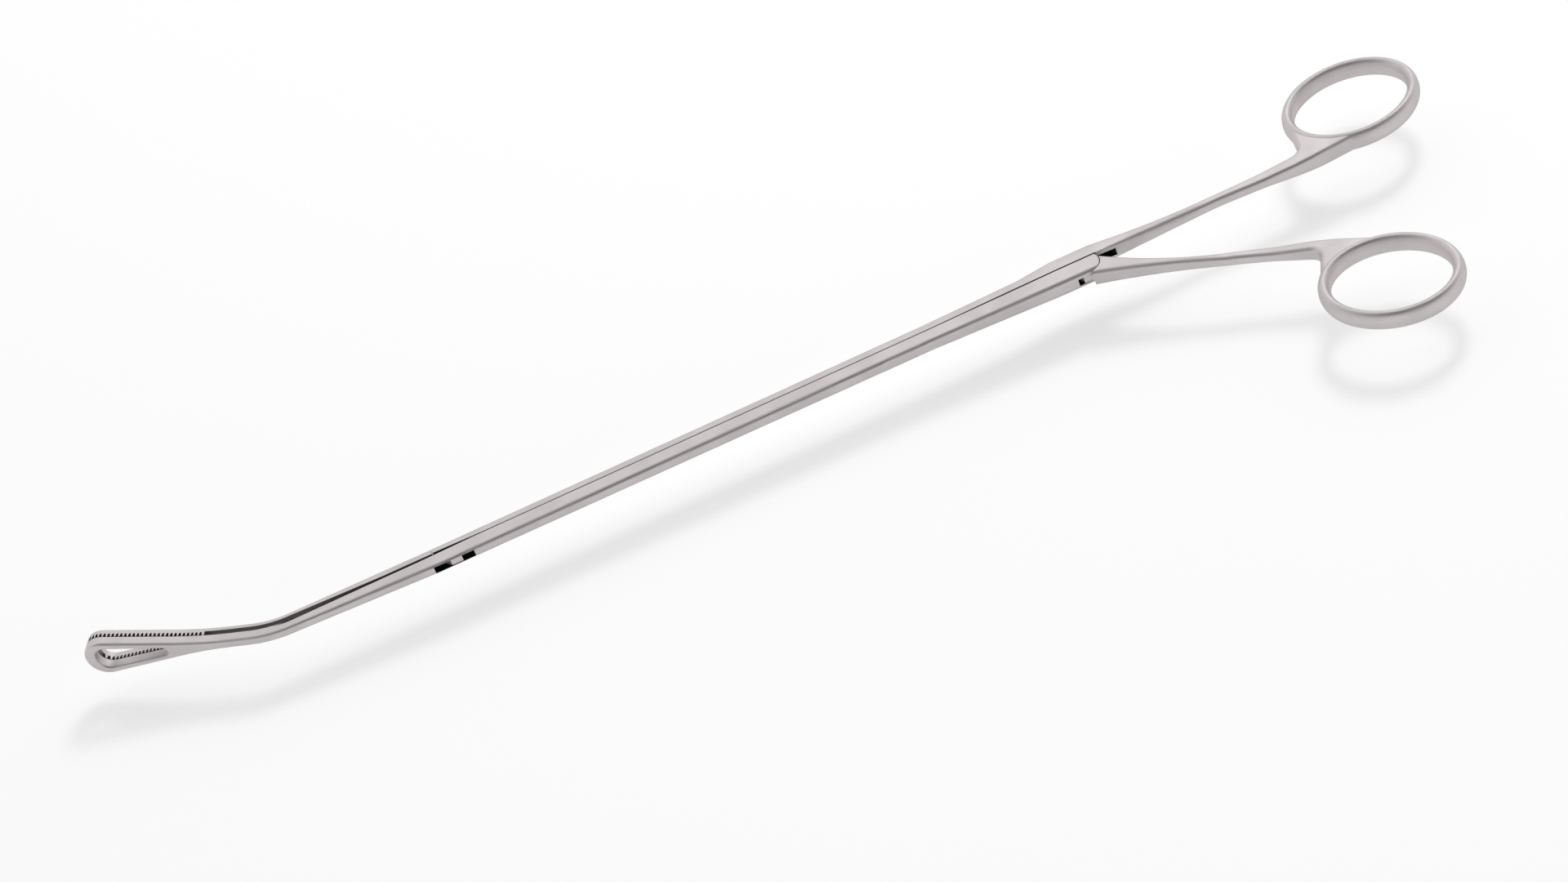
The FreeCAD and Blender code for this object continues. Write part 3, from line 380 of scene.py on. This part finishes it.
@dataclass(frozen=True)
class SatinSteel:
    """Bead-blasted stainless steel: fine pits, faint mottling and faint lines of the grinding below, with
    painted shade in the slots, along the seam and on the faces between the halves when a seam is given.
    """

    name: str
    seam: Seam | None = None
    recesses: tuple[Recess, ...] = ()
    colour: Colour = (0.622, 0.585, 0.587)
    mottled: Colour = (0.585, 0.551, 0.553)
    # Near-black colour of the painted shade in the slots, along the seam and between the halves.
    shade_colour: Colour = (0.030, 0.028, 0.030)
    roughness: float = 0.50
    roughness_swing: float = 0.08
    dark_roughness: float = 0.7
    mottle_scale: float = 130.0
    mottle_detail: float = 3.0
    mottle_span: tuple[float, float] = (0.3, 0.7)
    mottle_share: float = 0.7
    pit_scale: float = 5200.0
    pit_strength: float = 0.5
    pit_depth: float = 0.012 * MM
    line_scale: tuple[float, float, float] = (35.0, 1500.0, 1500.0)
    line_share: float = 0.3
    line_strength: float = 0.35
    line_depth: float = 0.006 * MM

    def material(self) -> bpy.types.Material:
        """Builds the material.

        Returns:
            The new material.
        """
        made = bpy.data.materials.new(self.name)
        made.use_nodes = True
        shop = NodeShop(made.node_tree)
        mottle = shop.noise((self.mottle_scale,) * 3, self.mottle_detail).ramp(*self.mottle_span)
        pits = shop.noise((self.pit_scale,) * 3)
        lines = shop.noise(self.line_scale)
        colour = shop.blend(self.colour, self.mottled, mottle * self.mottle_share + lines * self.line_share)
        roughness = self.roughness - self.roughness_swing / 2 + mottle * self.roughness_swing
        # Painted shade: the mating faces, the teeth's grooves, the seam and the slots are blended towards a
        # near-black colour.
        if self.seam is not None:
            painted_shade = self.painted_shade(shop)
            colour = shop.blend(colour, self.shade_colour, painted_shade)
            roughness = roughness + painted_shade * (self.dark_roughness - self.roughness)
        scratched = (lines, self.line_strength, self.line_depth)
        pitted = (pits, self.pit_strength, self.pit_depth)
        finish(shop, colour, roughness, shop.bumps([scratched, pitted]))
        return made

    def painted_shade(self, shop: NodeShop) -> Sock:
        """Marks where shade is painted into the colour.

        Args:
            shop: The material's node shop.

        Returns:
            The painted shade mask of the mating faces, the teeth's grooves, the seam and the slots.
        """
        place = shop.parts(shop.place())
        masks = self.seam.masks(shop, place) + [recess.mask(place) for recess in self.recesses]
        total = masks[0]
        for mask in masks[1:]:
            total = total.most(mask)
        return total


@dataclass(frozen=True)
class GroundPin:
    """Pin ends ground flush: the lines of the wheel run across the end."""

    name: str = "pin_steel"
    colour: Colour = (0.622, 0.585, 0.587)
    dulled: Colour = (0.585, 0.551, 0.553)
    roughness: float = 0.46
    roughness_swing: float = 0.06
    line_scale: tuple[float, float, float] = (600.0, 6000.0, 600.0)
    line_strength: float = 0.5
    line_depth: float = 0.006 * MM

    def material(self) -> bpy.types.Material:
        """Builds the material.

        Returns:
            The new material.
        """
        made = bpy.data.materials.new(self.name)
        made.use_nodes = True
        shop = NodeShop(made.node_tree)
        lines = shop.noise(self.line_scale)
        colour = shop.blend(self.colour, self.dulled, lines)
        roughness = self.roughness + lines * self.roughness_swing
        finish(shop, colour, roughness, shop.bumps([(lines, self.line_strength, self.line_depth)]))
        return made


def finish(shop: NodeShop, colour: Sock, roughness: Sock, normal: Sock) -> None:
    """Ends a metal's tree in its shader, a little duller at a grazing view than plain metal.

    Args:
        shop: The material's node shop.
        colour: Base colour.
        roughness: Roughness.
        normal: Bumped normal.
    """
    inputs = {"Base Color": colour, "Roughness": roughness, "Normal": normal, "Metallic": 1.0}
    inputs["Specular Tint"] = (0.80, 0.78, 0.78, 1.0)
    shader = shop.add("ShaderNodeBsdfPrincipled", {}, inputs)
    shop.end("ShaderNodeOutputMaterial", shader)


@dataclass
class Viewpoint:
    """The photograph's camera, fitted to both rings and the shaft."""

    azimuth: float = -3.458
    elevation: float = 42.0
    roll: float = -22.0
    distance: float = 989.5 * MM
    focal_pixels: float = 5265.2
    frame_pixels: float = 1920.0
    sensor: float = 36.0
    clip: tuple[float, float] = (0.01, 20.0)
    target: tuple[float, float, float] = (-81.22 * MM, -10.83 * MM, 2.2 * MM)

    def axes(self) -> tuple[Vector, Vector, Vector]:
        """Works out the camera's axes.

        Returns:
            The picture's right, its up and the direction from the target to the camera.
        """
        turn = math.radians(self.azimuth)
        rise = math.radians(self.elevation)
        right = Vector((math.cos(turn), math.sin(turn), 0.0))
        back = Vector((math.sin(turn) * math.cos(rise), -math.cos(turn) * math.cos(rise), math.sin(rise)))
        up = back.cross(right)
        lean = math.radians(self.roll)
        return (
            right * math.cos(lean) + up * math.sin(lean),
            up * math.cos(lean) - right * math.sin(lean),
            back,
        )

    def build(self) -> None:
        """Makes the scene's camera."""
        data = bpy.data.cameras.new("photo_camera")
        data.sensor_width = self.sensor
        data.lens = self.focal_pixels / self.frame_pixels * self.sensor
        data.clip_start, data.clip_end = self.clip
        camera = bpy.data.objects.new("photo_camera", data)
        right, up, back = self.axes()
        matrix = Matrix((right, up, back)).transposed().to_4x4()
        matrix.translation = Vector(self.target) + back * self.distance
        camera.matrix_world = matrix
        bpy.context.scene.collection.objects.link(camera)
        bpy.context.scene.camera = camera


@dataclass(frozen=True)
class Lamp:
    """One round soft lamp."""

    name: str
    size: float
    power: float
    mirrored: bool
    towards: tuple[float, float, float] = (8.0, 8.5, 12.0)
    distance: float = 1.4
    aim: tuple[float, float, float] = (-80.0 * MM, 0.0, 0.0)

    def build(self) -> None:
        """Hangs the lamp, aimed at the middle of the object."""
        data = bpy.data.lights.new(self.name, "AREA")
        data.shape = "DISK"
        data.size = self.size
        data.energy = self.power
        lamp = bpy.data.objects.new(self.name, data)
        towards = Vector(self.towards).normalized()
        lamp.location = Vector(self.aim) + towards * self.distance
        lamp.rotation_euler = towards.to_track_quat("Z", "Y").to_euler()
        lamp.visible_glossy = self.mirrored
        bpy.context.scene.collection.objects.link(lamp)


@dataclass
class Studio:
    """White floor, a bright sky with a dim patch high up in front, and soft lamps behind the rings."""

    floor_height: float = -9.8 * MM
    floor_size: float = 8.0
    floor_colour: Colour = (0.95, 0.95, 0.95)
    floor_glow: float = 0.55
    sky_bright: float = 1.0
    sky_dim: float = 0.05
    dim_depth: tuple[float, float] = (0.35, -0.45)
    dim_height: tuple[float, float] = (0.3, 0.6)
    lamps: tuple[Lamp, ...] = (
        Lamp("key", size=0.34, power=7.5, mirrored=False),
        Lamp("fill", size=0.9, power=2.5, mirrored=True),
    )

    def build(self) -> None:
        """Makes the floor, the sky and the lamps."""
        self.floor()
        self.sky()
        for lamp in self.lamps:
            lamp.build()

    def floor(self) -> None:
        """Lays the pale floor under the object."""
        half = self.floor_size / 2
        mesh = bpy.data.meshes.new("floor")
        corners = [(-half, -half), (half, -half), (half, half), (-half, half)]
        mesh.from_pydata([(x, y, self.floor_height) for x, y in corners], [], [(0, 1, 2, 3)])
        made = bpy.data.materials.new("floor")
        made.use_nodes = True
        shop = NodeShop(made.node_tree)
        matt = shop.add("ShaderNodeBsdfDiffuse", {}, {"Color": (*self.floor_colour, 1.0)})
        white = shop.add("ShaderNodeEmission", {}, {"Color": (1.0, 1.0, 1.0, 1.0), "Strength": 1.0})
        rays = [shop.add("ShaderNodeLightPath", {}, {}, name) for name in SEEING_RAYS]
        seen = (rays[0] + rays[1] + rays[2]).least(1.0) * self.floor_glow
        shop.end("ShaderNodeOutputMaterial", shop.add("ShaderNodeMixShader", {}, {0: seen, 1: matt, 2: white}))
        mesh.materials.append(made)
        floor = bpy.data.objects.new("floor", mesh)
        bpy.context.scene.collection.objects.link(floor)

    def sky(self) -> None:
        """Lights the scene from a white sky with a dim patch above the camera, as a dark room has."""
        world = bpy.data.worlds.new("studio")
        world.use_nodes = True
        bpy.context.scene.world = world
        shop = NodeShop(world.node_tree)
        direction = shop.add("ShaderNodeTexCoord", {}, {}, "Generated")
        _, depth, height = shop.parts(direction)
        dim = depth.ramp(*self.dim_depth) * height.ramp(*self.dim_height)
        strength = self.sky_bright - dim * (self.sky_bright - self.sky_dim)
        lit = shop.add("ShaderNodeBackground", {}, {"Color": (1.0, 1.0, 1.0, 1.0), "Strength": strength})
        shop.end("ShaderNodeOutputWorld", lit)


@dataclass
class Dressing:
    """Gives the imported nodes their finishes."""

    # Boxes of the slots in each bar, whose walls get painted shade.
    near_slots: tuple[Recess, ...] = (
        Recess(-166.75, -156.55, -2.0, 2.0, 1.23, 3.17),
        Recess(-3.35, 3.5, -2.8, 2.0, 1.18, 3.22),
    )
    far_slots: tuple[Recess, ...] = (
        Recess(-166.0, -156.85, 1.8, 4.1, 1.23, 3.17),
        Recess(-3.45, 8.2, 1.8, 4.9, 1.18, 3.22),
    )
    seam: Seam = field(default_factory=Seam)
    pin: GroundPin = field(default_factory=GroundPin)

    def steels(self) -> dict[Forging, SatinSteel]:
        """Says which steel each forging wears."""
        return {
            Forging.NEAR_BAR: SatinSteel("satin_near_bar", self.seam, self.near_slots),
            Forging.FAR_BAR: SatinSteel("satin_far_bar", self.seam, self.far_slots),
            Forging.FAR_JAW: SatinSteel("satin_swing_jaw", self.seam),
            Forging.THUMB: SatinSteel("satin_handle"),
        }

    def dress(self, nodes: dict[str, bpy.types.Object]) -> None:
        """Puts satin steel on the forgings and ground steel on the pins and studs.

        Args:
            nodes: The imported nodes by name.
        """
        forged = {forging.value: steel.material() for forging, steel in self.steels().items()}
        ground = self.pin.material()
        for name, node in nodes.items():
            chosen = forged.get(name, ground)
            node.data.materials.clear()
            node.data.materials.append(chosen)
            LOG.info("%s wears %s", name, chosen.name)


def main() -> None:
    """Builds the studio and dresses the part."""
    logging.basicConfig(level=logging.INFO, format="%(name)s: %(message)s")
    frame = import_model()
    bpy.context.scene.view_settings.view_transform = "Standard"
    Viewpoint().build()
    Studio().build()
    Dressing().dress(frame["nodes"])


if __name__ == "__main__":
    main()
